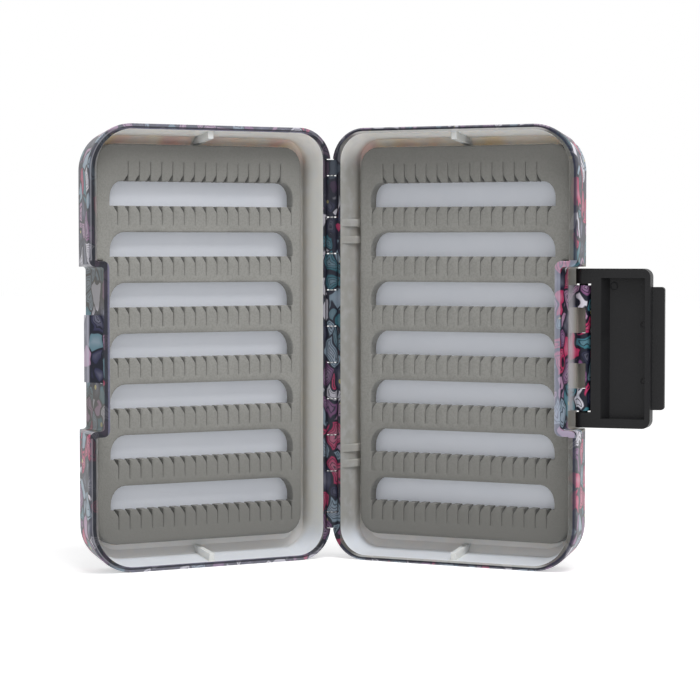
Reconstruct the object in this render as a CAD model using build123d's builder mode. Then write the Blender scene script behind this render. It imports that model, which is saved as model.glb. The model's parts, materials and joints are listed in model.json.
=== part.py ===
from build123d import *
import copy
import os

# Slim pocket fly box with two moulded halves, shown standing open on its short end.
# The hinge axis is vertical. The base half runs along +X from it and opens towards -Y.
# In the comments u is the distance from the hinge axis across a half, and v is the depth
# behind the plane where the two rims meet. On the base half u is X and v is Y.

# ---- driving dimensions, in millimetres and degrees ----
LENGTH = 125.0              # along the hinge
HALF_WIDTH = 76.05          # hinge axis to the latch side
HALF_DEPTH = 13.1           # rim plane to the back
OPEN_ANGLE = 124.06         # how far the lid stands open
MID = LENGTH / 2
ROOTED = 0.2                # how far a rib or a cut runs into what it starts from
THROUGH = 1.0               # how far a cutter runs out past what it cuts

# walls of a half, with one draft inside and outside
DRAFT = 9.0
RIM_GAP = 0.1               # each rim stops short of the parting plane by this much
RIM_BAND = 1.0              # straight band at the rim, which the box stands on
HINGE_FACE = 0.25           # u of the outer face of the hinge wall
HINGE_WALL = 2.55           # wall thicknesses at the rim
LATCH_WALL = 2.35
END_WALL = 1.45
FLOOR_DEPTH = 11.4
CORNER_HINGE = 10.0         # plan corners at the rim, outside and inside
CORNER_LATCH = 13.15
INNER_CORNER_HINGE = 8.0
INNER_CORNER_LATCH = 11.0
BACK_STEPS = ((1.25, 34.0), (0.75, 63.0))   # depth and lean of the flats round the back edge
FLOOR_STEP = (1.6, 52.0)    # the same for the flat between the walls and the floor inside

# thumb recess for the latch, open from the rim to the back
RECESS_LENGTH = 45.5
RECESS_WALL = 1.65
RECESS_ROUND = 2.0
BASE_RECESS = 71.1          # u of the recess wall on the base
LID_RECESS = 71.6           # and on the lid

# ribs inside: one on each end wall, and ears beside the base half's hinge
END_RIB_AT = 38.4
END_RIB_WIDTH = 1.6
END_RIB_TOP = 3.7           # distance from the end of the box just below the rim
END_RIB_FOOT = 5.2          # and at the floor
EAR_WIDTH = 2.1
EAR_TOP = 3.0               # u just below the rim
EAR_FOOT = 6.0              # u at the floor
EAR_CENTRES = (27.6, 32.1, 92.9, 97.8)
RIB_DROP = 0.9              # ribs and ears start this far below the parting plane

# hinge
KNUCKLE_RADIUS = 1.8
KNUCKLE_POCKET = 2.1
KNUCKLE_GAP = 0.35
KNUCKLE_ARM = 1.0           # thickness and reach of the arm that joins a knuckle to its wall
KNUCKLE_REACH = 2.0
END_KNUCKLE = 4.7
SECOND_KNUCKLE = 12.0
MIDDLE_KNUCKLES = 7
HINGE_LENGTH = 107.2
PIN_RADIUS = 0.75
PIN_LENGTH = 106.4
PIN_CLEARANCE = 0.03
PIN_PRESS = 0.02            # the two end knuckles grip the pin

# latch barrel on the base and catch ridge on the lid
PIVOT_U = 74.4
PIVOT_V = 9.7
BARREL_RADIUS = 2.25
BARREL_SEGMENTS = (6.2, 7.1, 8.5, 7.1, 6.2)
BARREL_WEB = (10.0, 3.8)    # depth and thickness of the web that carries the barrel
WEB_ROOT = 0.5              # how far the web and the ridge run into the recess wall
TRUNNION_RADIUS = 1.25
TRUNNION_CLEARANCE = 0.03
RIDGE_LENGTH = 18.7
RIDGE_TOP = 74.4
RIDGE_RAMP = (0.5, 5.5)     # depths where the latch's hook starts to climb and where it tops out
RIDGE_CATCH = (7.8, 7.6)    # depths of the catch face, undercut towards the wall

# latch
LATCH_OPEN = 98.0           # how far it stands away from its closed position
LATCH_LENGTH = 44.5
ARM_WIDTH = 4.2
ARM_RADIUS = 2.2
SKIN_OUTER = 2.0            # pivot centre to the outer face
SKIN = 1.3
WINDOW_END = 2.55           # distances from the pivot along the latch
POCKET_START = 5.4
POCKET_INSET = 2.6
POCKET_FLOOR_START = 7.3
HOOK_FACE = 17.8
HOOK_END = 19.3
LATCH_CORNER = 2.3
TAB_START = 18.3
TAB_END = 22.5
TAB_LENGTH = 34.3
TAB_FLARE = 1.1
TAB_CORNER = 0.9
TRUNNION_LENGTH = 5.8

# foam insert, its backing and adhesive
FOAM_TOP = 6.5
FOAM_THICKNESS = 3.8
BACKING_THICKNESS = 0.95
FOAM_HINGE = 6.8
FOAM_LATCH = 71.0
FOAM_LOW = 7.2
FOAM_HIGH = 119.6
FOAM_NOTCH = 69.1
FOAM_NOTCH_LENGTH = 49.4
FOAM_CORNER = 5.5
BACKING_INSET = 2.0
ADHESIVE_INSET = 2.8
TROUGHS = 7
TROUGH_START = 9.3
TROUGH_END = 67.0
TROUGH_HEIGHT = 6.9
TROUGH_PITCH = 14.25
TOP_TROUGH = 105.75
TROUGH_ROUND = 2.6

# hook slits: a row of them hangs from each trough, and one more row stands on the top one
SLIT_LENGTH = 5.7
SLIT_GAPE = 0.8
SLIT_PITCH = 3.43
ROW_SLITS = 17
ROW_START = 9.7
TOP_ROW_SLITS = 15
TOP_ROW_START = 13.25


def depth_plane(depth):
    """Sketch plane parallel to the rim. Its x is u and its y is the height."""
    return Plane.XZ.offset(-depth)


def tray_outline(depth, hinge_side, latch_side, end_inset, hinge_corner, latch_corner):
    """Rounded outline of a half at one depth."""
    with BuildSketch(depth_plane(depth)) as outline:
        with Locations(((hinge_side + latch_side) / 2, MID)):
            Rectangle(latch_side - hinge_side, LENGTH - 2 * end_inset)
        fillet(outline.vertices().group_by(Axis.X)[0], hinge_corner)
        fillet(outline.vertices().group_by(Axis.X)[-1], latch_corner)
    return outline.sketch


def outer_form():
    """Drafted outside of a half, with its straight band at the rim and its eased back edge."""
    size = (HINGE_FACE, HALF_WIDTH, 0, CORNER_HINGE, CORNER_LATCH)
    wall = HALF_DEPTH - RIM_GAP - RIM_BAND - sum(depth for depth, lean in BACK_STEPS)
    with BuildPart() as form:
        extrude(tray_outline(RIM_GAP, *size), amount=-RIM_BAND)
        for depth, lean in ((wall, DRAFT), *BACK_STEPS):
            extrude(form.faces().sort_by(Axis.Y)[-1], amount=depth, taper=lean)
    return form.part


def cavity_form(recess_face):
    """Space inside a half, which steps round the wall of the latch recess."""
    rim = tray_outline(
        RIM_GAP,
        HINGE_FACE + HINGE_WALL,
        HALF_WIDTH - LATCH_WALL,
        END_WALL,
        INNER_CORNER_HINGE,
        INNER_CORNER_LATCH,
    )
    step_face = recess_face - RECESS_WALL
    with BuildPart() as cavity:
        extrude(rim, amount=RIM_GAP + FLOOR_STEP[0] - FLOOR_DEPTH, taper=DRAFT)
        extrude(cavity.faces().sort_by(Axis.Y)[-1], amount=FLOOR_STEP[0], taper=FLOOR_STEP[1])
        with BuildSketch(depth_plane(RIM_GAP)) as step:
            with Locations((step_face, MID)):
                Rectangle(
                    HALF_WIDTH - step_face,
                    RECESS_LENGTH + 2 * RECESS_WALL,
                    align=(Align.MIN, Align.CENTER),
                )
            fillet(step.vertices().group_by(Axis.X)[0], RECESS_ROUND)
        extrude(amount=-FLOOR_DEPTH, mode=Mode.SUBTRACT)
    return cavity.part


def recess_form(recess_face):
    """Cutter of the latch recess, which flares into the rim with rounded corners."""
    half = RECESS_LENGTH / 2
    turn = HALF_WIDTH - RECESS_ROUND
    outside = HALF_WIDTH + RECESS_ROUND
    with BuildPart() as recess:
        with BuildSketch(depth_plane(0)) as section:
            with BuildLine():
                Line((turn, MID - half), (recess_face, MID - half))
                Line((recess_face, MID - half), (recess_face, MID + half))
                Line((recess_face, MID + half), (turn, MID + half))
                CenterArc((turn, MID + half + RECESS_ROUND), RECESS_ROUND, 270, 90)
                Polyline(
                    (HALF_WIDTH, MID + half + RECESS_ROUND),
                    (outside, MID + half + RECESS_ROUND),
                    (outside, MID - half - RECESS_ROUND),
                    (HALF_WIDTH, MID - half - RECESS_ROUND),
                )
                CenterArc((turn, MID - half - RECESS_ROUND), RECESS_ROUND, 0, 90)
            make_face()
            fillet(section.vertices().group_by(Axis.X)[0], RECESS_ROUND / 2)
        extrude(amount=-HALF_DEPTH - THROUGH)
    return recess.part


def tray(recess_face):
    """One moulded half without its hinge: walls, floor, recess and the two end ribs."""
    rib_at = END_RIB_AT - END_RIB_WIDTH / 2
    with BuildPart() as half:
        add(outer_form())
        add(cavity_form(recess_face), mode=Mode.SUBTRACT)
        add(recess_form(recess_face), mode=Mode.SUBTRACT)
        with BuildSketch(Plane.YZ.offset(rib_at)):
            Polygon(
                (RIB_DROP, END_WALL - ROOTED),
                (RIB_DROP, END_RIB_TOP),
                (FLOOR_DEPTH + ROOTED, END_RIB_FOOT),
                (FLOOR_DEPTH + ROOTED, END_RIB_TOP - ROOTED),
                align=None,
            )
            mirror(about=Plane.XZ.offset(-MID))
        extrude(amount=END_RIB_WIDTH)
    return half.part


def knuckle_spans():
    """Lower and upper end of each of the eleven knuckles, from the bottom up."""
    middle = (HINGE_LENGTH - 2 * END_KNUCKLE - 2 * SECOND_KNUCKLE) / MIDDLE_KNUCKLES
    outer = [END_KNUCKLE, SECOND_KNUCKLE]
    lengths = outer + [middle] * MIDDLE_KNUCKLES + outer[::-1]
    low = MID - HINGE_LENGTH / 2
    spans = []
    for length in lengths:
        spans.append((low + KNUCKLE_GAP / 2, low + length - KNUCKLE_GAP / 2))
        low += length
    return spans


def hinged(body, own_spans, facing_spans):
    """Adds a half's own knuckles and cuts pockets for those of the other half."""
    with BuildPart() as half:
        add(body)
        for low, high in facing_spans:
            with BuildSketch(Plane.XY.offset(low - KNUCKLE_GAP)):
                Circle(KNUCKLE_POCKET)
            extrude(amount=high - low + 2 * KNUCKLE_GAP, mode=Mode.SUBTRACT)
        for low, high in own_spans:
            with BuildSketch(Plane.XY.offset(low)):
                Circle(KNUCKLE_RADIUS)
                with Locations((0, RIM_GAP)):
                    Rectangle(KNUCKLE_ARM, KNUCKLE_REACH - RIM_GAP, align=(Align.MIN, Align.MIN))
            extrude(amount=high - low)
        for low, high in own_spans:
            grips = high - low < END_KNUCKLE
            bore = PIN_RADIUS - PIN_PRESS if grips else PIN_RADIUS + PIN_CLEARANCE
            with BuildSketch(Plane.XY.offset(low - KNUCKLE_GAP)):
                Circle(bore)
            extrude(amount=high - low + 2 * KNUCKLE_GAP, mode=Mode.SUBTRACT)
    return half.part


def insert_layer(depth, thickness, inset, draft, ease_corners):
    """One layer of the insert, cut away beside the wall of the latch recess."""
    with BuildPart() as layer:
        with BuildSketch(depth_plane(depth)) as outline:
            with Locations(((FOAM_HINGE + FOAM_LATCH) / 2, (FOAM_LOW + FOAM_HIGH) / 2)):
                Rectangle(FOAM_LATCH - FOAM_HINGE - 2 * inset, FOAM_HIGH - FOAM_LOW - 2 * inset)
            ease_corners(outline.vertices(), FOAM_CORNER)
        extrude(amount=-thickness, taper=draft)
        with BuildSketch(depth_plane(depth)):
            with Locations((FOAM_NOTCH - inset, MID)):
                Rectangle(
                    HALF_WIDTH - FOAM_NOTCH,
                    FOAM_NOTCH_LENGTH + 2 * inset,
                    align=(Align.MIN, Align.CENTER),
                )
        extrude(amount=-thickness, mode=Mode.SUBTRACT)
    return layer.part


def slit_row(start, count, edge, direction):
    """Sketch of one row of slits. Each is a thin wedge that gapes at the edge of a trough."""
    heads = [(start + index * SLIT_PITCH, edge) for index in range(count)]
    with BuildSketch() as row:
        with Locations(*heads):
            Polygon(
                (0, -direction * ROOTED),
                (SLIT_GAPE, -direction * ROOTED),
                (0, direction * SLIT_LENGTH),
                align=None,
            )
    return row.sketch


def slit_foam():
    """Die-cut foam insert: troughs for the flies, with rows of slits for their hooks."""
    with BuildPart() as foam:
        add(insert_layer(FOAM_TOP, FOAM_THICKNESS, 0, DRAFT, fillet))
        with BuildSketch(depth_plane(FOAM_TOP)) as cuts:
            for row in range(TROUGHS):
                middle = TOP_TROUGH - row * TROUGH_PITCH
                with Locations(((TROUGH_START + TROUGH_END) / 2, middle)):
                    Rectangle(TROUGH_END - TROUGH_START, TROUGH_HEIGHT)
            for upper_corners in cuts.vertices().group_by(Axis.Y)[1::2]:
                fillet(upper_corners, TROUGH_ROUND)
            for row in range(TROUGHS):
                lower_edge = TOP_TROUGH - row * TROUGH_PITCH - TROUGH_HEIGHT / 2
                add(slit_row(ROW_START, ROW_SLITS, lower_edge, -1))
            add(slit_row(TOP_ROW_START, TOP_ROW_SLITS, TOP_TROUGH + TROUGH_HEIGHT / 2, 1))
        extrude(amount=-FOAM_THICKNESS, mode=Mode.SUBTRACT)
    return foam.part


# ---- base half ----
spans = knuckle_spans()
barrel_length = sum(BARREL_SEGMENTS)
barrel_low = MID - barrel_length / 2

with BuildPart() as base_shell:
    add(hinged(tray(BASE_RECESS), spans[0::2], spans[1::2]))
    for centre in EAR_CENTRES:
        with BuildSketch(Plane.XY.offset(centre - EAR_WIDTH / 2)):
            Polygon(
                (HINGE_FACE + HINGE_WALL - ROOTED, RIB_DROP),
                (EAR_TOP, RIB_DROP),
                (EAR_FOOT, FLOOR_DEPTH + ROOTED),
                (HINGE_FACE + HINGE_WALL + ROOTED, FLOOR_DEPTH + ROOTED),
                align=None,
            )
        extrude(amount=EAR_WIDTH)
    with BuildSketch(Plane.XY.offset(barrel_low)):
        with Locations((PIVOT_U, PIVOT_V)):
            Circle(BARREL_RADIUS)
        web_depth, web_thickness = BARREL_WEB
        web_root = BASE_RECESS - WEB_ROOT
        with Locations((web_root, web_depth)):
            Rectangle(PIVOT_U - web_root, web_thickness, align=(Align.MIN, Align.CENTER))
    extrude(amount=barrel_length)
    with BuildSketch(Plane.XY.offset(barrel_low - THROUGH)):
        with Locations((PIVOT_U, PIVOT_V)):
            Circle(TRUNNION_RADIUS + TRUNNION_CLEARANCE)
    extrude(amount=barrel_length + 2 * THROUGH, mode=Mode.SUBTRACT)
    # the bore is moulded by cores from both sides, so it is open to the back and to the
    # front in turn
    segment_low = barrel_low
    for index, segment in enumerate(BARREL_SEGMENTS):
        side = Align.MIN if index % 2 == 0 else Align.MAX
        with BuildSketch(Plane.XY.offset(segment_low)):
            with Locations((PIVOT_U, PIVOT_V)):
                bore = 2 * (TRUNNION_RADIUS + TRUNNION_CLEARANCE)
                Rectangle(bore, 2 * BARREL_RADIUS, align=(Align.CENTER, side))
        extrude(amount=segment, mode=Mode.SUBTRACT)
        segment_low += segment

# ---- lid half, made like the base and turned over later ----
with BuildPart() as lid_half:
    add(hinged(tray(LID_RECESS), spans[1::2], spans[0::2]))
    with BuildSketch(Plane.XY.offset(MID - RIDGE_LENGTH / 2)):
        Polygon(
            (LID_RECESS - WEB_ROOT, RIDGE_RAMP[0]),
            (RIDGE_TOP, RIDGE_RAMP[1]),
            (RIDGE_TOP, RIDGE_CATCH[0]),
            (LID_RECESS, RIDGE_CATCH[1]),
            (LID_RECESS - WEB_ROOT, RIDGE_CATCH[1]),
            align=None,
        )
    extrude(amount=RIDGE_LENGTH)

# ---- hinge pin ----
with BuildPart() as hinge_pin:
    with BuildSketch(Plane.XY.offset(MID - PIN_LENGTH / 2)):
        Circle(PIN_RADIUS)
    extrude(amount=PIN_LENGTH)

# ---- latch, in the plane of its swing: x runs from the pivot to the thumb tab and
# y points to its outer face ----
latch_low = MID - LATCH_LENGTH / 2
latch_high = MID + LATCH_LENGTH / 2
pivot = Plane(origin=(PIVOT_U, PIVOT_V, 0), x_dir=(1, 0, 0), z_dir=(0, 0, 1))
swing = pivot.rotated((0, 0, LATCH_OPEN - 90))

with BuildPart() as latch:
    with BuildSketch(swing.offset(latch_low)):
        Circle(ARM_RADIUS)
        with Locations((HOOK_END / 2, (SKIN_OUTER - ARM_RADIUS) / 2)):
            Rectangle(HOOK_END, SKIN_OUTER + ARM_RADIUS)
    extrude(amount=LATCH_LENGTH)
    across = Axis(swing.origin, swing.y_dir)
    fillet(latch.edges().filter_by(across), LATCH_CORNER)
    # window between the two arms
    with BuildSketch(swing.offset(latch_low + ARM_WIDTH)):
        with Locations((WINDOW_END, 0)):
            Rectangle(3 * ARM_RADIUS, 3 * ARM_RADIUS, align=(Align.MAX, Align.CENTER))
    extrude(amount=LATCH_LENGTH - 2 * ARM_WIDTH, mode=Mode.SUBTRACT)
    # pocket that passes over the catch ridge, with the hook at its far end
    with BuildSketch(swing.offset(latch_low + POCKET_INSET)):
        Polygon(
            (POCKET_START, -ARM_RADIUS),
            (HOOK_FACE, -ARM_RADIUS),
            (HOOK_FACE, SKIN_OUTER - SKIN),
            (POCKET_FLOOR_START, SKIN_OUTER - SKIN),
            align=None,
        )
    extrude(amount=LATCH_LENGTH - 2 * POCKET_INSET, mode=Mode.SUBTRACT)
    # flared thumb tab
    with BuildSketch(swing.offset(MID - TAB_LENGTH / 2)):
        Polygon(
            (TAB_START, SKIN_OUTER - SKIN),
            (TAB_END, SKIN_OUTER - SKIN + TAB_FLARE),
            (TAB_END, SKIN_OUTER + TAB_FLARE),
            (TAB_START, SKIN_OUTER),
            align=None,
        )
    extrude(amount=TAB_LENGTH)
    tab_end = latch.edges().filter_by(across).group_by(Axis(swing.origin, swing.x_dir))[-1]
    fillet(tab_end, TAB_CORNER)
    # trunnions, which point inwards from the arms
    for low in (latch_low, latch_high - ARM_WIDTH - TRUNNION_LENGTH):
        with BuildSketch(swing.offset(low)):
            Circle(TRUNNION_RADIUS)
        extrude(amount=ARM_WIDTH + TRUNNION_LENGTH)

# ---- foam inserts, with their backing sheets and adhesive films ----
foam = slit_foam()
backing_depth = FOAM_TOP + FOAM_THICKNESS
backing = insert_layer(backing_depth, BACKING_THICKNESS, BACKING_INSET, 0, chamfer)
adhesive_depth = backing_depth + BACKING_THICKNESS
film = FLOOR_DEPTH - adhesive_depth
adhesive = insert_layer(adhesive_depth, film, ADHESIVE_INSET, 0, chamfer)

# ---- assembly ----
lid_turn = Location((0, 0, 0), (0, 0, 1), 180 - OPEN_ANGLE)


def on_lid(part):
    """Turns a part made for the base half over to the lid."""
    return lid_turn * mirror(part, about=Plane.YZ)


pieces = {
    "base_shell": base_shell.part,
    "hinge_pin": hinge_pin.part,
    "base_slit_foam": foam,
    "base_foam_backing": backing,
    "base_foam_adhesive": adhesive,
    "lid_shell": on_lid(lid_half.part),
    "lid_slit_foam": on_lid(foam),
    "lid_foam_backing": on_lid(backing),
    "lid_foam_adhesive": on_lid(adhesive),
    "latch": latch.part,
}

# the origin is under the middle of the open box
box = Compound(children=[copy.copy(piece) for piece in pieces.values()]).bounding_box()
shift = Pos(-box.center().X, -box.center().Y, -box.min.Z)
os.makedirs("parts", exist_ok=True)
for name, piece in pieces.items():
    placed = shift * piece
    placed.label = name
    export_step(placed, f"parts/{name}.step")

hinge_foot = shift.position
print("hinge axis at", round(hinge_foot.X, 4), round(hinge_foot.Y, 4))
print("latch axis at", round(hinge_foot.X + PIVOT_U, 4), round(hinge_foot.Y + PIVOT_V, 4))
print("size", box.size)
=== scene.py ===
import json
from math import ceil, cos, hypot, pi, radians, sin, tan

import bmesh
import bpy
import numpy as np
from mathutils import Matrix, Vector
from mathutils.geometry import delaunay_2d_cdt


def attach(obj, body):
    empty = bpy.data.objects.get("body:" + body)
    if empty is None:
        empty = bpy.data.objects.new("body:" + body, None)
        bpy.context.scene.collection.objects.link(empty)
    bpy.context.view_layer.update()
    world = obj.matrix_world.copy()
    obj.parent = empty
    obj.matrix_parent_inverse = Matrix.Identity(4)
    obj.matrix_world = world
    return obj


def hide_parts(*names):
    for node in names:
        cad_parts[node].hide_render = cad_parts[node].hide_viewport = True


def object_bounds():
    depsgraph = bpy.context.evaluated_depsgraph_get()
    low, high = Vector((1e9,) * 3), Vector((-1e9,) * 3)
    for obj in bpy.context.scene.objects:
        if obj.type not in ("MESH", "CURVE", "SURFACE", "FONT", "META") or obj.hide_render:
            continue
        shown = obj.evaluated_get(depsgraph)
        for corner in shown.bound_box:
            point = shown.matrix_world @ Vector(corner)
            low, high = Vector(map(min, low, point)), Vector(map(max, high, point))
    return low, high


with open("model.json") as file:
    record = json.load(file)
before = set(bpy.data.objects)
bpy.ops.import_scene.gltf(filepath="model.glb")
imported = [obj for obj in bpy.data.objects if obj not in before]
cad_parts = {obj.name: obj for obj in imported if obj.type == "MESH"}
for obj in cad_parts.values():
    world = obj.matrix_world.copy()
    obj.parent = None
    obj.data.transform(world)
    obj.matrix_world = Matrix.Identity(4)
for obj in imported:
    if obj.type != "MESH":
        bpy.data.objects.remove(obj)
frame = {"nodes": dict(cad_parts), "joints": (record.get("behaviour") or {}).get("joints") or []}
cad_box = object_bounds()

# Places on a half are (u, v, z) in millimetres: u runs from the hinge axis across the half,
# v is the depth behind the plane where the rims meet, and z is the height.
MM = 0.001
joints = {joint["name"]: joint for joint in frame["joints"]}
HINGE = Vector(joints["lid_hinge"]["pos_m"]) / MM
HINGE.z = 0
LATCH_PIVOT = Vector(joints["latch_hinge"]["pos_m"]) / MM - HINGE
OPEN_ANGLE = radians(joints["lid_hinge"]["range_deg"][1])
LATCH_ANGLE = radians(-joints["latch_hinge"]["range_deg"][0])
MID = (cad_box[1].z - cad_box[0].z) / MM / 2
HALVES = {
    "base": (Vector((1, 0, 0)), Vector((0, 1, 0))),
    "lid": (
        Vector((cos(OPEN_ANGLE), -sin(OPEN_ANGLE), 0)),
        Vector((-sin(OPEN_ANGLE), -cos(OPEN_ANGLE), 0)),
    ),
}

# walls of a half
DRAFT = tan(radians(9))
WIDTH = 76.05
DEPTH = 13.1
FLOOR = 11.4
HINGE_FACE = 0.25
HINGE_WALL = 2.55
LATCH_WALL = 2.35
END_WALL = 1.45
RIM = 0.16                  # what lies nearer to the parting plane than this is the rim
CORNERS = (10.0, 13.15)
RECESS_WALL = {"base": 70.27, "lid": 70.77}
RECESS_HALF = 23.5
RIB_AT = 38.4
KNUCKLE_DEPTH = 2.3
BARREL_HALF = 17.6
WEB_START = 6.5             # depth where the print on the recess wall fades out
BORE_END = 75.5             # u where the bore of the barrel ends
PLAIN_SEGMENT = (4.25, 11.35)   # distances from the middle

# foam
FOAM_TOP = 6.5
FOAM_BACK = 10.3
FOAM_SIDES = {"base": (6.1, 71.5), "lid": (6.7, 71.0)}
FOAM_ENDS = (7.2, 119.6)
FOAM_CORNER = 5.5
FOAM_NOTCH = 69.1
FOAM_NOTCH_HALF = 24.7
TROUGH_SIDES = (9.3, 67.0)
TROUGH_HALF = 3.45
TROUGH_PITCH = 14.25
TOP_TROUGH = 105.75
TROUGHS = 7
TROUGH_ROUND = (4.4, 5.2)   # the upper corners, across and up
TOP_ROUND = (3.6, 4.6)      # the same in the top trough, which has slits above it too
SLIT_LENGTH = 5.5
SLIT_PITCH = 3.43
SLIT_ROW = (9.7, 17)        # u of the first slit and number of slits
TOP_SLIT_ROW = (13.25, 15)


def place(half, u, v, z):
    """Point of a half in metres."""
    across, back = HALVES[half]
    return (HINGE + across * u + back * v + Vector((0, 0, z))) * MM


# ---- node helper ----
class Look:
    """A node material that is built up from small steps."""

    def __init__(self, name):
        self.material = bpy.data.materials.new(name)
        self.material.use_nodes = True
        self.tree = self.material.node_tree
        self.surface = self.tree.nodes["Principled BSDF"]

    def node(self, kind, *values, **settings):
        made = self.tree.nodes.new("ShaderNode" + kind)
        for setting, value in settings.items():
            setattr(made, setting, value)
        for socket, value in zip(made.inputs, values):
            self.put(socket, value)
        return made

    def put(self, socket, value):
        if isinstance(value, bpy.types.NodeSocket):
            self.tree.links.new(value, socket)
        elif value is not None:
            socket.default_value = value

    def shine(self, **values):
        """Sets sockets of the Principled shader."""
        for name, value in values.items():
            self.put(self.surface.inputs[name.replace("_", " ")], value)

    def math(self, operation, *values):
        return self.node("Math", *values, operation=operation).outputs[0]

    def total(self, *values):
        result = values[0]
        for value in values[1:]:
            result = self.math("ADD", result, value)
        return result

    def product(self, *values):
        result = values[0]
        for value in values[1:]:
            result = self.math("MULTIPLY", result, value)
        return result

    def ramp(self, value, low, high):
        """0 below low and 1 above high, with a smooth step between them."""
        stepped = self.node("MapRange", value, low, high, 0.0, 1.0)
        stepped.interpolation_type = "SMOOTHSTEP"
        return stepped.outputs[0]

    def down_ramp(self, value, low, high):
        """1 below low and 0 above high."""
        return self.math("SUBTRACT", 1.0, self.ramp(value, low, high))

    def mix(self, factor, first, second):
        mixed = self.node("Mix", data_type="RGBA")
        for index, value in ((0, factor), (6, first), (7, second)):
            self.put(mixed.inputs[index], value)
        return mixed.outputs[2]

    def noise(self, vector, scale, detail=2.0, roughness=0.5):
        made = self.node("TexNoise")
        made.inputs["Scale"].default_value = scale
        made.inputs["Detail"].default_value = detail
        made.inputs["Roughness"].default_value = roughness
        self.put(made.inputs["Vector"], vector)
        return made.outputs

    def bump(self, height, distance, strength=1.0):
        made = self.node("Bump")
        made.inputs["Strength"].default_value = strength
        made.inputs["Distance"].default_value = distance
        self.put(made.inputs["Height"], height)
        return made.outputs[0]

    def position(self):
        """Place in millimetres from the foot of the hinge axis."""
        coords = self.node("TexCoord").outputs["Object"]
        scaled = self.node("VectorMath", coords, operation="SCALE")
        scaled.inputs["Scale"].default_value = 1 / MM
        return self.node("VectorMath", scaled.outputs[0], HINGE, operation="SUBTRACT").outputs[0]

    def along(self, vector, direction):
        return self.node("VectorMath", vector, direction, operation="DOT_PRODUCT").outputs["Value"]


def grey(level, warmth=0.0):
    return (level * (1 + warmth), level, level * (1 - warmth), 1.0)


# ---- shells ----
def outline_distance(look, u, z, inset, sides, end, corners):
    """Distance outside a rounded outline that shrinks by an inset; negative inside it."""
    centre = (sides[0] + sides[1]) / 2
    latch_side = look.math("GREATER_THAN", u, centre)
    corner = look.total(corners[0], look.product(latch_side, corners[1] - corners[0]))
    corner = look.math("SUBTRACT", corner, inset)
    reach = []
    for value, middle, half in ((u, centre, (sides[1] - sides[0]) / 2), (z, MID, MID - end)):
        off = look.math("ABSOLUTE", look.math("SUBTRACT", value, middle))
        reach.append(look.total(look.math("SUBTRACT", off, half), inset, corner))
    outside = look.node("CombineXYZ")
    for index, value in enumerate(reach):
        look.put(outside.inputs[index], look.math("MAXIMUM", value, 0.0))
    length = look.node("VectorMath", outside.outputs[0], operation="LENGTH").outputs["Value"]
    within = look.math("MINIMUM", look.math("MAXIMUM", *reach), 0.0)
    return look.math("SUBTRACT", look.total(length, within), corner)


PRINT_COLOURS = (
    (0.00, (0.014, 0.016, 0.044)),
    (0.13, (0.035, 0.165, 0.210)),
    (0.22, (0.260, 0.350, 0.430)),
    (0.34, (0.660, 0.640, 0.710)),
    (0.49, (0.500, 0.030, 0.120)),
    (0.61, (0.220, 0.085, 0.210)),
    (0.71, (0.120, 0.220, 0.270)),
    (0.80, (0.026, 0.028, 0.072)),
    (0.89, (0.400, 0.230, 0.360)),
)
INK = (0.008, 0.010, 0.022, 1.0)
PALE = (0.60, 0.60, 0.70, 1.0)
SPOT = (0.60, 0.52, 0.20, 1.0)


def printed_colour(look, position):
    """Generic all-over print: warped cells with dark outlines, echo lines and small spots."""
    warp = look.noise(position, 0.17, 1.0)["Color"]
    centred = look.node("VectorMath", warp, (0.5, 0.5, 0.5), operation="SUBTRACT").outputs[0]
    pushed = look.node("VectorMath", centred, operation="SCALE")
    pushed.inputs["Scale"].default_value = 5.0
    warped = look.node("VectorMath", position, pushed.outputs[0], operation="ADD").outputs[0]
    stretched = look.node("VectorMath", warped, (1.0, 1.0, 0.62), operation="MULTIPLY").outputs[0]
    cells = look.node("TexVoronoi", feature="F1")
    edges = look.node("TexVoronoi", feature="DISTANCE_TO_EDGE")
    for made in (cells, edges):
        made.inputs["Scale"].default_value = 0.26
        look.put(made.inputs["Vector"], stretched)
    pick = look.node("SeparateColor", cells.outputs["Color"])
    palette = look.node("ValToRGB", pick.outputs[0])
    palette.color_ramp.interpolation = "CONSTANT"
    marks = palette.color_ramp.elements
    while len(marks) < len(PRINT_COLOURS):
        marks.new(0.5)
    for mark, (start, colour) in zip(marks, PRINT_COLOURS):
        mark.position = start
        mark.color = (*colour, 1.0)
    edge = edges.outputs["Distance"]
    # each cell gets paler towards its middle, with echo lines in some of the cells
    pale = look.mix(look.product(look.ramp(edge, 0.05, 0.5), 0.28), palette.outputs[0], PALE)
    waves = look.math("SINE", look.product(edge, 48.0))
    lined = look.math("GREATER_THAN", pick.outputs[1], 0.45)
    echo = look.product(look.ramp(waves, 0.45, 0.85), lined, 0.9)
    inked = look.mix(echo, pale, INK)
    spots = look.node("TexVoronoi", feature="F1")
    spots.inputs["Scale"].default_value = 0.31
    look.put(spots.inputs["Vector"], position)
    sparse = look.node("SeparateColor", spots.outputs["Color"]).outputs[0]
    near = look.math("LESS_THAN", spots.outputs["Distance"], 0.21)
    spotted = look.mix(look.product(near, look.math("GREATER_THAN", sparse, 0.8)), inked, SPOT)
    return look.mix(look.down_ramp(edge, 0.045, 0.095), spotted, INK)


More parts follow.
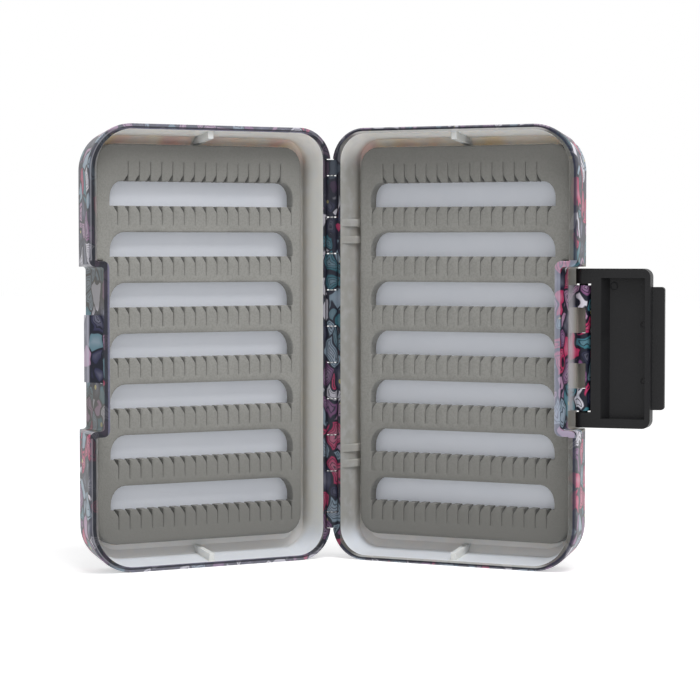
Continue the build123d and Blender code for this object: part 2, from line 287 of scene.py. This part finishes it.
FROST_SIDE = {"base": (0.38, 0.375, 0.355, 1.0), "lid": (0.72, 0.72, 0.69, 1.0)}
# FROST_TOP is lighter than FROST_BOTTOM as painted light: it stands in for light shining through the
# clear top wall
FROST_TOP = (0.90, 0.89, 0.87, 1.0)
FROST_BOTTOM = (0.72, 0.75, 0.80, 1.0)
# FROST_DEEP and the two below are the greys the walls turn to towards the floor, as painted shade;
# the one for the top end stays light as painted light
FROST_DEEP = (0.52, 0.50, 0.46, 1.0)
FROST_DEEP_TOP = (0.90, 0.85, 0.79, 1.0)
FROST_DEEP_BOTTOM = (0.79, 0.775, 0.755, 1.0)
FROST_CLOUD = (0.66, 0.68, 0.72, 1.0)
BLEED = ((0.84, 0.56, 0.52, 1.0), (0.88, 0.74, 0.48, 1.0))
BLEED_SHARE = (0.06, 0.6)   # on the sides, and at the top
RIB = (0.74, 0.75, 0.74, 1.0)
END_START = 50.0            # distance from the middle where the end walls begin
# layers of the rim, from the outside in: where each starts and its colour, along the sides
# and then along the ends
RIM_LAYERS = {
    "base": (
        (0.35, (0.026, 0.028, 0.050, 1.0), 0.30, (0.018, 0.019, 0.028, 1.0)),
        (1.00, (0.150, 0.148, 0.138, 1.0), 0.85, (0.560, 0.560, 0.550, 1.0)),
    ),
    "lid": (
        (0.42, (0.200, 0.200, 0.225, 1.0), 0.68, (0.022, 0.023, 0.034, 1.0)),
        (0.72, (0.022, 0.024, 0.032, 1.0), 1.15, (0.170, 0.165, 0.230, 1.0)),
        (1.75, (0.170, 0.170, 0.170, 1.0), 1.75, (0.170, 0.165, 0.230, 1.0)),
    ),
}
RIM_EDGE = (0.016, 0.017, 0.026, 1.0)
# the rim beside the recess: its colour next to the recess, its colour inwards, and their share
RIM_RECESS = {
    "base": ((0.30, 0.33, 0.43, 1.0), (0.42, 0.44, 0.54, 1.0), 0.35),
    "lid": ((0.010, 0.011, 0.018, 1.0), (0.13, 0.13, 0.20, 1.0), 0.92),
}
RIDGE_CREST = (74.0, 74.35) # u of the top of the catch ridge
RIDGE_HIGHLIGHT = (4.7, 5.3, 5.5, 6.1)   # depths between which a highlight is painted on its edge
RIDGE_HALF = 9.4
RECESS_DARK = (0.075, 0.070, 0.056, 1.0)
BARREL_GREY = (0.36, 0.345, 0.30, 1.0)
# the colour of the painted highlight on the web
BARREL_HIGHLIGHT = (0.52, 0.51, 0.54, 1.0)
WALL_OLIVE = (0.14, 0.125, 0.08, 1.0)
WEB = (71.2, 72.8)          # u where the painted highlight on the web ends and the barrel begins


def frosted_colour(look, half, position, u, v, z, from_middle):
    """Inside of the walls: grey, with painted shade towards the floor, painted light on the top end
    wall, and a little of the print's colour.
    """
    at_end = look.ramp(from_middle, END_START, END_START + 8.0)
    patch = look.noise(position, 0.1, 1.0)
    bleed = look.ramp(patch["Fac"], 0.38, 0.70)
    hue = look.ramp(look.node("SeparateColor", patch["Color"]).outputs[1], 0.46, 0.66)
    # painted shade: the walls turn to the deep greys towards the floor
    deep = look.ramp(v, look.total(4.0, look.product(at_end, 3.6)), look.total(9.5, at_end))
    cloud = look.ramp(look.noise(position, 0.3, 3.0)["Fac"], 0.4, 0.75)
    # painted light: the top end wall is lighter than the bottom one
    at_top = look.ramp(z, MID, MID + END_START)
    wall = look.mix(at_end, FROST_SIDE[half], look.mix(at_top, FROST_BOTTOM, FROST_TOP))
    deep_end = look.mix(at_top, FROST_DEEP_BOTTOM, FROST_DEEP_TOP)
    wall = look.mix(look.product(deep, 0.85), wall, look.mix(at_end, FROST_DEEP, deep_end))
    share = look.total(BLEED_SHARE[0], look.product(at_end, at_top, BLEED_SHARE[1] - BLEED_SHARE[0]))
    wall = look.mix(look.product(bleed, deep, share), wall, look.mix(hue, *BLEED))
    wall = look.mix(look.product(cloud, 0.25), wall, FROST_CLOUD)
    beside_rib = look.math("ABSOLUTE", look.math("SUBTRACT", u, RIB_AT))
    return look.mix(look.down_ramp(beside_rib, 0.9, 1.8), wall, RIB)


def barrel_colour(look, printed, u, v, from_middle):
    """The web gets a painted highlight, and the print is left off where the bore of the barrel is
    open.
    """
    open_bore = look.product(
        look.math("GREATER_THAN", from_middle, PLAIN_SEGMENT[0]),
        look.math("LESS_THAN", from_middle, PLAIN_SEGMENT[1]),
        look.math("LESS_THAN", u, BORE_END),
        look.ramp(v, WEB_START, WEB_START + 1.0),
    )
    colour = look.mix(look.product(open_bore, 0.95), printed, BARREL_GREY)
    # painted highlight: a pale streak along the web where the barrel begins
    web_highlight = look.product(look.ramp(v, WEB_START - 1.2, WEB_START + 0.8), look.down_ramp(u, *WEB))
    colour = look.mix(look.product(web_highlight, 0.75), colour, BARREL_HIGHLIGHT)
    beyond = look.product(
        look.math("GREATER_THAN", from_middle, BARREL_HALF),
        look.ramp(v, WEB_START - 1.2, WEB_START + 0.8),
    )
    return look.mix(look.product(beyond, 0.9), colour, WALL_OLIVE)


def rim_colour(look, half, printed, u, z, from_middle):
    """Layers of the rim from the outside in: printed edge, clear wall, and what lies behind."""
    edge = outline_distance(look, u, z, 0.0, (HINGE_FACE, WIDTH), 0.0, CORNERS)
    depth_in = look.product(edge, -1.0)
    at_end = look.ramp(from_middle, 60.0, 61.5)
    bright = look.mix(0.3, printed, PALE)
    colour = look.mix(look.total(0.35, look.product(at_end, 0.5)), RIM_EDGE, bright)
    for side_start, side_layer, end_start, end_layer in RIM_LAYERS[half]:
        there = look.mix(look.product(at_end, 0.9), side_layer, end_layer)
        start = look.total(side_start, look.product(at_end, end_start - side_start))
        past = look.ramp(look.math("SUBTRACT", depth_in, start), 0.0, 0.12)
        colour = look.mix(past, colour, look.mix(0.08, there, printed))
    around_recess = look.product(
        look.math("LESS_THAN", from_middle, RECESS_HALF + 1.1),
        look.math("GREATER_THAN", u, RECESS_WALL[half] - 1.2),
    )
    near, inwards, share = RIM_RECESS[half]
    outer = look.ramp(u, RECESS_WALL[half] - 0.35, RECESS_WALL[half] - 0.05)
    beside = look.mix(share, bright, look.mix(outer, inwards, near))
    return look.mix(around_recess, colour, beside)


def shell_look(half):
    """Clear moulding: printed outside, frosted grey inside, and layered at the rim."""
    across, back = HALVES[half]
    look = Look(half + "_moulding")
    position = look.position()
    u = look.along(position, across)
    v = look.along(position, back)
    z = look.along(position, Vector((0, 0, 1)))
    from_middle = look.math("ABSOLUTE", look.math("SUBTRACT", z, MID))
    in_recess = look.product(
        look.math("GREATER_THAN", u, RECESS_WALL[half]),
        look.math("LESS_THAN", from_middle, RECESS_HALF),
    )
    on_knuckles = look.product(
        look.math("LESS_THAN", u, HINGE_FACE + HINGE_WALL - 0.05),
        look.math("LESS_THAN", v, KNUCKLE_DEPTH),
    )
    printed = printed_colour(look, position)
    # painted shade: the hinge knuckles are mixed half way to ink, the top knuckle nearly all the way
    knuckle_shade = look.total(0.5, look.product(look.ramp(z, MID + 38.0, MID + 44.0), 0.4))
    outside = look.mix(look.product(on_knuckles, knuckle_shade), printed, RIM_EDGE)
    if half == "base":
        recess = barrel_colour(look, outside, u, v, from_middle)
    else:
        off_ridge = look.ramp(from_middle, RIDGE_HALF, RIDGE_HALF + 3.0)
        recess = look.mix(look.product(off_ridge, 0.6), outside, RECESS_DARK)
        # painted highlight on the crest and along the edge of the catch ridge, in the pale colour
        crest_highlight = look.product(look.ramp(u, *RIDGE_CREST), 0.3)
        rise, top_start, top_end, fall = RIDGE_HIGHLIGHT
        edge = look.product(look.ramp(v, rise, top_start), look.down_ramp(v, top_end, fall), 0.6)
        edge = look.product(edge, look.ramp(u, RIDGE_CREST[0] - 0.6, RIDGE_CREST[0]))
        recess = look.mix(look.math("MAXIMUM", crest_highlight, edge), recess, PALE)
    outside = look.mix(in_recess, outside, recess)

    inset = look.math("SUBTRACT", look.product(v, DRAFT), 0.1)
    middles = (HINGE_FACE + HINGE_WALL / 2, WIDTH - LATCH_WALL / 2)
    corners = (CORNERS[0] - 1.0, CORNERS[1] - 1.1)
    wall = outline_distance(look, u, z, inset, middles, END_WALL / 2, corners)
    inside = look.product(
        look.math("LESS_THAN", wall, 0.0),
        look.math("LESS_THAN", v, (FLOOR + DEPTH) / 2),
        look.math("SUBTRACT", 1.0, in_recess),
        look.math("SUBTRACT", 1.0, on_knuckles),
    )
    frosted = frosted_colour(look, half, position, u, v, z, from_middle)
    colour = look.mix(inside, outside, frosted)
    on_rim = look.product(
        look.math("LESS_THAN", v, RIM),
        look.math("GREATER_THAN", v, 0.0),
        look.math("SUBTRACT", 1.0, on_knuckles),
    )
    colour = look.mix(on_rim, colour, rim_colour(look, half, printed, u, z, from_middle))
    ripple = look.noise(position, 0.5, 2.0)["Fac"]
    look.shine(
        Base_Color=colour,
        Roughness=look.total(0.34, look.product(inside, 0.14)),
        IOR=1.5,
        Specular_IOR_Level=0.22,
        Subsurface_Weight=look.product(inside, 0.6),
        Subsurface_Radius=(1.0, 0.92, 0.84),
        Subsurface_Scale=0.0022,
        Coat_Weight=look.product(look.math("SUBTRACT", 1.0, inside), 0.06),
        Coat_Roughness=0.15,
        Normal=look.bump(ripple, 0.00005),
    )
    return look.material


# ---- foam ----
# colour of the painted shade at the ends of the foam
FOAM_PAINTED_SHADE = (0.168, 0.166, 0.155, 1.0)
FOAM_PORE = (0.18, 0.178, 0.165, 1.0)


def foam_look():
    look = Look("slit_foam")
    position = look.position()
    z = look.along(position, Vector((0, 0, 1)))
    cell = look.noise(position, 4.5, 3.0, 0.65)["Fac"]
    grain = look.noise(position, 1.9, 1.0)["Fac"]
    cloud = look.noise(position, 0.12, 2.0)["Fac"]
    base = look.mix(cloud, (0.272, 0.269, 0.252, 1.0), (0.315, 0.312, 0.295, 1.0))
    # the ends are painted a little darker: painted shade of the end walls falling on the foam
    end_shade = look.total(
        look.product(look.down_ramp(z, 4.0, 58.0), 0.85),
        look.product(look.ramp(z, 88.0, 122.0), 0.6),
    )
    base = look.mix(end_shade, base, FOAM_PAINTED_SHADE)
    pore = look.total(
        look.product(look.ramp(cell, 0.56, 0.72), 0.35),
        look.product(look.ramp(grain, 0.42, 0.62), 0.25),
    )
    look.shine(
        Base_Color=look.mix(pore, base, FOAM_PORE),
        Roughness=0.92,
        Specular_IOR_Level=0.25,
        Sheen_Weight=0.15,
        Normal=look.bump(look.total(cell, grain), 0.00012, 0.6),
    )
    return look.material


def arc(centre, across, up, start, turn, steps=6):
    """Points on an arc with its half width and half height, angles in degrees."""
    angles = [radians(start + turn * step / steps) for step in range(steps + 1)]
    return [(centre[0] + across * cos(a), centre[1] + up * sin(a)) for a in angles]


def slit(u, edge, way):
    """Sides of one slit in order of u: its straight side, its tip, and the side that flares."""
    steps = (
        (-0.2, 0.0), (-0.05, 0.05), (0.0, 0.2), (0.0, 1.3), (0.0, 2.6), (0.0, 4.0),
        (0.01, SLIT_LENGTH - 0.1), (0.04, SLIT_LENGTH), (0.07, SLIT_LENGTH - 0.1),
        (0.08, 4.0), (0.09, 2.6), (0.12, 1.95), (0.32, 1.55), (0.72, 0.95), (1.12, 0.4),
        (1.26, 0.12), (1.4, 0.0),
    )
    return [(u + across, edge + way * down) for across, down in steps]


def slit_row(row, edge, way):
    start, count = row
    points = []
    for index in range(count):
        points += slit(start + index * SLIT_PITCH, edge, way)
    return points


def trough(index):
    """Outline of one trough with the slits that open into it, counter-clockwise."""
    middle = TOP_TROUGH - index * TROUGH_PITCH
    low, high = middle - TROUGH_HALF, middle + TROUGH_HALF
    left, right = TROUGH_SIDES
    across, up = TOP_ROUND if index == 0 else TROUGH_ROUND
    points = [(left, low)] + slit_row(SLIT_ROW, low, -1) + [(right, low)]
    points += arc((right - across, high - up), across, up, 0, 90)
    if index == 0:
        points += slit_row(TOP_SLIT_ROW, high, 1)[::-1]
    points += arc((left + across, high - up), across, up, 90, 90)
    return points


def foam_outline(half):
    left, right = FOAM_SIDES[half]
    low, high = FOAM_ENDS
    corner = FOAM_CORNER
    points = arc((left + corner, low + corner), corner, corner, 180, 90)
    points += arc((right - corner, low + corner), corner, corner, 270, 90)
    points += [(right, MID - FOAM_NOTCH_HALF), (FOAM_NOTCH, MID - FOAM_NOTCH_HALF)]
    points += [(FOAM_NOTCH, MID + FOAM_NOTCH_HALF), (right, MID + FOAM_NOTCH_HALF)]
    points += arc((right - corner, high - corner), corner, corner, 0, 90)
    points += arc((left + corner, high - corner), corner, corner, 90, 90)
    return points


def divided(loop, longest):
    """The same loop with points added where two of them are further apart than longest."""
    points = []
    for start, end in zip(loop, loop[1:] + loop[:1]):
        parts = max(1, ceil(hypot(end[0] - start[0], end[1] - start[1]) / longest))
        for part in range(parts):
            share = part / parts
            points.append(tuple(a + (b - a) * share for a, b in zip(start, end)))
    return points


def distances(points, starts, ends):
    """Distance of each point from the nearest of the segments."""
    nearest = np.empty(len(points))
    along = ends - starts
    length = (along ** 2).sum(1)
    for first in range(0, len(points), 500):
        part = points[first:first + 500, None, :]
        share = np.clip(((part - starts) * along).sum(2) / length, 0, 1)
        gap = part - starts - share[..., None] * along
        nearest[first:first + 500] = np.sqrt((gap ** 2).sum(2)).min(1)
    return nearest


def inside(points, starts, ends):
    """Which points lie in the foam, by counting the outlines to one side of them."""
    result = np.zeros(len(points), bool)
    run = ends[:, 0] - starts[:, 0]
    rise = ends[:, 1] - starts[:, 1]
    rise[rise == 0] = 1e-12
    for first in range(0, len(points), 500):
        x = points[first:first + 500, 0, None]
        y = points[first:first + 500, 1, None]
        spans = (starts[:, 1] > y) != (ends[:, 1] > y)
        crossing = starts[:, 0] + (y - starts[:, 1]) * run / rise
        result[first:first + 500] = (spans & (x < crossing)).sum(1) % 2 == 1
    return result


LIP = 0.26                  # how far the rounding of a cut edge reaches
LIP_DROP = 0.17
GRID = 1.3


def foam_sheet(half):
    """Points, faces and edge loops of the foam's top, with the slits cut through it."""
    loops = [divided(foam_outline(half), 1.5)]
    loops += [divided(trough(index), 1.2) for index in range(TROUGHS)]
    rim = np.array([point for loop in loops for point in loop])
    follow = []
    first = 0
    for loop in loops:
        count = len(loop)
        follow += [first + (index + 1) % count for index in range(count)]
        first += count
    starts, ends = rim, rim[follow]
    # a ring beside each edge, and a loose grid elsewhere
    way = ends - starts
    normal = np.stack((-way[:, 1], way[:, 0]), 1) / np.hypot(way[:, 0], way[:, 1])[:, None]
    before = np.empty_like(normal)
    before[follow] = normal
    bisector = normal + before
    bisector /= np.maximum(np.hypot(bisector[:, 0], bisector[:, 1]), 0.2)[:, None]
    rings = np.concatenate([rim + side * LIP * bisector for side in (-1, 1)])
    across = np.arange(*FOAM_SIDES[half], GRID)
    up = np.arange(*FOAM_ENDS, GRID)
    grid = np.stack(np.meshgrid(across, up), 2).reshape(-1, 2)
    kept = []
    for points, gap in ((rings, LIP * 0.8), (grid, LIP * 2.2)):
        points = points[inside(points, starts, ends)]
        kept.append(points[distances(points, starts, ends) > gap])
    points = np.concatenate([rim] + kept)
    edges = list(zip(range(len(rim)), follow))
    coords, _, faces, origins, _, _ = delaunay_2d_cdt(
        [Vector(point) for point in points], edges, [], 0, 1e-6
    )
    coords = np.array(coords)
    faces = np.array(faces)
    faces = faces[inside(coords[faces].mean(1), starts, ends)]
    fall = np.clip(1 - distances(coords, starts, ends) / LIP, 0, 1)
    order = [0] * len(rim)
    for index, sources in enumerate(origins):
        for source in sources:
            if source < len(rim):
                order[source] = index
    return coords, faces, fall, [(order[a], order[b]) for a, b in edges]


def waviness(u, z):
    """Slight unevenness of the soft surface, in millimetres."""
    return 0.05 * np.sin(u * 0.21 + 1.3 * np.sin(z * 0.13)) + 0.05 * np.sin(z * 0.37 + u * 0.09)


def foam_insert(half):
    coords, faces, fall, edges = foam_sheet(half)
    top = FOAM_TOP + 0.06 + LIP_DROP * fall ** 2 + waviness(coords[:, 0], coords[:, 1]) * (1 - fall)
    mesh = bmesh.new()
    levels = []
    for depths in (top, np.full(len(coords), FOAM_BACK)):
        levels.append([mesh.verts.new(place(half, u, v, z)) for (u, z), v in zip(coords, depths)])
    for face in faces:
        mesh.faces.new([levels[0][index] for index in face]).smooth = True
        mesh.faces.new([levels[1][index] for index in face[::-1]])
    for start, end in edges:
        mesh.faces.new([levels[0][start], levels[0][end], levels[1][end], levels[1][start]])
    bmesh.ops.delete(mesh, geom=[vert for vert in mesh.verts if not vert.link_faces], context="VERTS")
    bmesh.ops.recalc_face_normals(mesh, faces=mesh.faces)
    data = bpy.data.meshes.new(half + "_foam_insert")
    mesh.to_mesh(data)
    mesh.free()
    piece = bpy.data.objects.new(half + "_foam_insert", data)
    bpy.context.scene.collection.objects.link(piece)
    data.materials.append(FOAM_MATERIAL)
    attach(piece, half)
    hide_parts(half + "_slit_foam")


# ---- other looks ----
def backing_look():
    look = Look("backing_sheet")
    position = look.position()
    cloud = look.noise(position, 0.11, 2.0)["Fac"]
    grain = look.noise(position, 2.6, 2.0)["Fac"]
    look.shine(
        Base_Color=look.mix(cloud, (0.74, 0.775, 0.85, 1.0), (0.79, 0.815, 0.88, 1.0)),
        Roughness=look.total(0.42, look.product(grain, 0.12)),
        Normal=look.bump(grain, 0.00003),
    )
    return look.material


def adhesive_look():
    look = Look("adhesive_film")
    position = look.position()
    bubbles = look.noise(position, 0.8, 3.0)["Fac"]
    look.shine(
        Base_Color=look.mix(bubbles, (0.74, 0.73, 0.66, 1.0), (0.82, 0.81, 0.76, 1.0)),
        Roughness=0.35,
        Normal=look.bump(bubbles, 0.00003),
    )
    return look.material


def pin_look():
    look = Look("drawn_wire")
    position = look.position()
    stretched = look.node("VectorMath", position, (6.0, 6.0, 0.15), operation="MULTIPLY").outputs[0]
    lines = look.noise(stretched, 1.0, 2.0)["Fac"]
    look.shine(
        Base_Color=look.mix(lines, (0.50, 0.50, 0.51, 1.0), (0.66, 0.66, 0.66, 1.0)),
        Metallic=1.0,
        Roughness=look.total(0.22, look.product(lines, 0.15)),
    )
    return look.material


# ejector marks on the floor of the latch: distance from the pivot, height, and radius
EJECTOR_MARKS = ((8.4, 80.0, 1.0), (16.9, 69.1, 0.7), (17.0, 53.4, 0.7))


def latch_look():
    look = Look("latch_moulding")
    position = look.position()
    grain = look.noise(position, 3.2, 3.0)["Fac"]
    patches = look.noise(position, 0.16, 2.0)["Fac"]
    swing = LATCH_ANGLE - pi / 2
    along = look.along(position, Vector((cos(swing), sin(swing), 0)))
    along = look.math("SUBTRACT", along, LATCH_PIVOT.x * cos(swing) + LATCH_PIVOT.y * sin(swing))
    height = look.along(position, Vector((0, 0, 1)))
    rings = 0.0
    for reach, level, radius in EJECTOR_MARKS:
        gap = look.node("CombineXYZ")
        look.put(gap.inputs[0], look.math("SUBTRACT", along, reach))
        look.put(gap.inputs[1], look.math("SUBTRACT", height, level))
        length = look.node("VectorMath", gap.outputs[0], operation="LENGTH").outputs["Value"]
        off_ring = look.math("ABSOLUTE", look.math("SUBTRACT", length, radius))
        rings = look.math("MAXIMUM", rings, look.down_ramp(off_ring, 0.05, 0.25))
    relief = look.math("SUBTRACT", look.product(grain, 0.35), rings)
    look.shine(
        Base_Color=look.mix(patches, (0.009, 0.009, 0.010, 1.0), (0.014, 0.014, 0.015, 1.0)),
        Roughness=look.total(0.38, look.product(patches, 0.14)),
        Specular_IOR_Level=0.22,
        Normal=look.bump(relief, 0.00014),
    )
    return look.material


# ---- the object ----
FOAM_MATERIAL = foam_look()
backing_material = backing_look()
adhesive_material = adhesive_look()
looks = {"hinge_pin": pin_look(), "latch": latch_look()}
for half in HALVES:
    foam_insert(half)
    looks[half + "_shell"] = shell_look(half)
    looks[half + "_foam_backing"] = backing_material
    looks[half + "_foam_adhesive"] = adhesive_material
for name, material in looks.items():
    mesh = frame["nodes"][name].data
    mesh.materials.clear()
    mesh.materials.append(material)

# ---- floor, light and camera ----
def white_for_camera(tree, strength):
    """A factor that is the strength for rays that show the background, and 0 for light."""
    path = tree.nodes.new("ShaderNodeLightPath")
    shown = path.outputs["Is Camera Ray"]
    for ray in ("Is Glossy Ray", "Is Transmission Ray"):
        either = tree.nodes.new("ShaderNodeMath")
        either.operation = "MAXIMUM"
        tree.links.new(shown, either.inputs[0])
        tree.links.new(path.outputs[ray], either.inputs[1])
        shown = either.outputs[0]
    scaled = tree.nodes.new("ShaderNodeMath")
    scaled.operation = "MULTIPLY"
    scaled.inputs[1].default_value = strength
    tree.links.new(shown, scaled.inputs[0])
    return scaled.outputs[0]


WORLD_LIGHT = 0.62
FLOOR_LIFT = 0.5
world = bpy.data.worlds.new("studio")
bpy.context.scene.world = world
world.use_nodes = True
background = world.node_tree.nodes["Background"]
background.inputs["Color"].default_value = (1, 1, 1, 1)
lifted = world.node_tree.nodes.new("ShaderNodeMath")
lifted.operation = "ADD"
lifted.inputs[1].default_value = WORLD_LIGHT
world.node_tree.links.new(white_for_camera(world.node_tree, 1 - WORLD_LIGHT), lifted.inputs[0])
world.node_tree.links.new(lifted.outputs[0], background.inputs["Strength"])

floor_look = Look("floor")
speckle = floor_look.noise(floor_look.position(), 0.02, 2.0)["Fac"]
floor_look.shine(
    Base_Color=floor_look.mix(speckle, grey(0.78), grey(0.8)),
    Roughness=0.9,
    Specular_IOR_Level=0.1,
    Emission_Color=(1, 1, 1, 1),
    Emission_Strength=white_for_camera(floor_look.tree, FLOOR_LIFT),
)
bpy.ops.mesh.primitive_plane_add(size=6.0, location=(0, 0, 0))
floor = bpy.context.object
floor.name = "floor"
floor.data.materials.append(floor_look.material)

CAMERA_AZIMUTH = radians(26.70)
CAMERA_TILT = radians(2.52)
CAMERA_DISTANCE = 690.5
CAMERA_ASIDE = 5.31
CAMERA_HEIGHT = 91.2
LENS = 122.2
sideways = Vector((cos(CAMERA_AZIMUTH), sin(CAMERA_AZIMUTH), 0))
forwards = Vector((-sin(CAMERA_AZIMUTH), cos(CAMERA_AZIMUTH), 0))
eye = HINGE + sideways * CAMERA_ASIDE - forwards * CAMERA_DISTANCE + Vector((0, 0, CAMERA_HEIGHT))
camera_data = bpy.data.cameras.new("camera")
camera_data.lens = LENS
camera_data.sensor_width = 36.0
camera_data.clip_start = 0.01
camera_data.clip_end = 20.0
camera = bpy.data.objects.new("camera", camera_data)
camera.location = eye * MM
camera.rotation_euler = (pi / 2 - CAMERA_TILT, 0, CAMERA_AZIMUTH)
bpy.context.scene.collection.objects.link(camera)
bpy.context.scene.camera = camera

key_data = bpy.data.lights.new("softbox", "AREA")
key_data.shape = "RECTANGLE"
key_data.size = 0.45
key_data.size_y = 0.3
key_data.energy = 2.75
key = bpy.data.objects.new("softbox", key_data)
target = Vector((0, 0, MID)) * MM
key.location = target - forwards * 0.24 + sideways * 0.15 + Vector((0, 0, 0.54))
key.rotation_euler = (target - key.location).to_track_quat("-Z", "Y").to_euler()
bpy.context.scene.collection.objects.link(key)

bpy.context.scene.view_settings.view_transform = "Standard"
